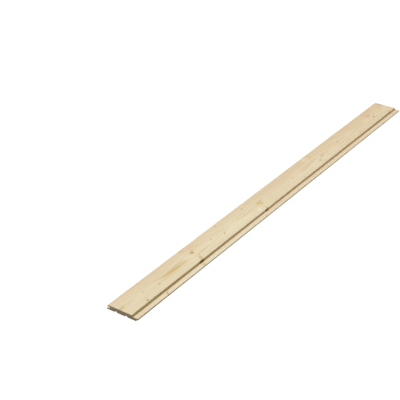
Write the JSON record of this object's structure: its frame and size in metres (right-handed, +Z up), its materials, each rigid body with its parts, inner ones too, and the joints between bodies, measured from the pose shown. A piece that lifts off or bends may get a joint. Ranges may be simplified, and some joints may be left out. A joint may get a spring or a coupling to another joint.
{
  "type": "tongue and groove board",
  "caption": "Planed softwood lining board with a tongue and a sloping shadow gap on one long edge, a groove on the other, and relief grooves along its underside.",
  "frame": {"origin": "centre of the board's bounding box on the plane of its underside", "axes": "+X across the board towards the tongue, +Y along the board, +Z up out of the face; the board lies flat, face up"},
  "size_m": [0.096, 1.5, 0.0125],
  "materials": {
    "spruce": "matte"
  },
  "bodies": {
    "root": {"board": "spruce"}
  },
  "joints": []
}
